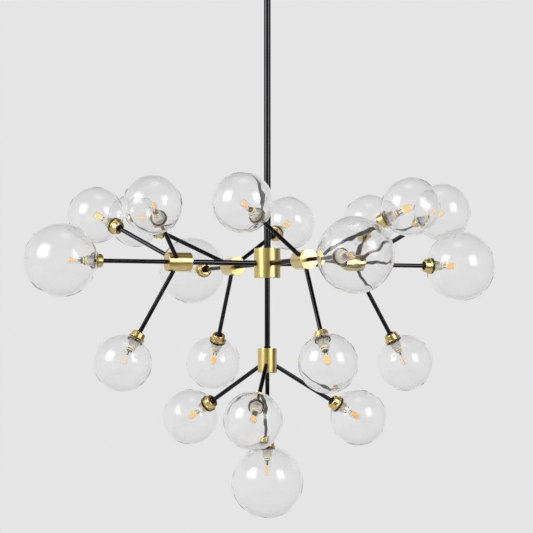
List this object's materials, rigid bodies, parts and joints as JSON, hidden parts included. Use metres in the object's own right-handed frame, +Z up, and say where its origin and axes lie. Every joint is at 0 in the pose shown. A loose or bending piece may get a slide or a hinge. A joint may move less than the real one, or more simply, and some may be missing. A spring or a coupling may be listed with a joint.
{
  "type": "chandelier",
  "caption": "Branching chandelier: black tubes leave drum hubs in clusters, each ending in a brass cup with a pin bulb inside a clear glass globe, hung on a stem from a round canopy.",
  "frame": {"origin": "middle of the ceiling bracket's top face, on the ceiling", "axes": "+Z up towards the ceiling, +X and +Y along the level tubes; the canopy screws lie along X"},
  "size_m": [0.947, 0.947, 1.1185],
  "materials": {
    "black_metal": "gloss black",
    "brass": "satin, turned",
    "clear_glass": "clear, blown",
    "steel": "zinc plated"
  },
  "bodies": {
    "ceiling": {"ceiling_bracket": "steel", "canopy": "black_metal", "canopy_screw_left": "brass", "canopy_screw_right": "brass", "hanger_clevis": "black_metal", "hanger_pin": "steel"},
    "chandelier": {"arm_back_down": "black_metal", "arm_back_end": "black_metal", "arm_back_up_left": "black_metal", "arm_back_up_right": "black_metal", "arm_front_down": "black_metal", "arm_front_end": "black_metal", "arm_front_up_left": "black_metal", "arm_front_up_right": "black_metal", "arm_left_down": "black_metal", "arm_left_end": "black_metal", "arm_left_up_back": "black_metal", "arm_left_up_front": "black_metal", "arm_lower_back_left": "black_metal", "arm_lower_end": "black_metal", "arm_lower_front_left": "black_metal", "arm_lower_right": "black_metal", "arm_right_down": "black_metal", "arm_right_end": "black_metal", "arm_right_up_back": "black_metal", "arm_right_up_front": "black_metal", "globe_back_down": "clear_glass", "globe_back_end": "clear_glass", "globe_back_up_left": "clear_glass", "globe_back_up_right": "clear_glass", "globe_front_down": "clear_glass", "globe_front_end": "clear_glass", "globe_front_up_left": "clear_glass", "globe_front_up_right": "clear_glass", "globe_left_down": "clear_glass", "globe_left_end": "clear_glass", "globe_left_up_back": "clear_glass", "globe_left_up_front": "clear_glass", "globe_lower_back_left": "clear_glass", "globe_lower_end": "clear_glass", "globe_lower_front_left": "clear_glass", "globe_lower_right": "clear_glass", "globe_right_down": "clear_glass", "globe_right_end": "clear_glass", "globe_right_up_back": "clear_glass", "globe_right_up_front": "clear_glass", "hanger_tongue": "black_metal", "hub_back": "brass", "hub_front": "brass", "hub_left": "brass", "hub_lower": "brass", "hub_right": "brass", "level_tube_back": "black_metal", "level_tube_front": "black_metal", "level_tube_left": "black_metal", "level_tube_right": "black_metal", "lower_lock_nut": "black_metal", "lower_tube": "black_metal", "stem": "black_metal", "upper_hub": "brass"}
  },
  "joints": [
    {"name": "hanger_tilt", "type": "hinge", "parent": "ceiling", "child": "chandelier", "pos_m": [0, 0, -0.05], "axis": [1, 0, 0], "range_deg": [-45, 45]}
  ]
}
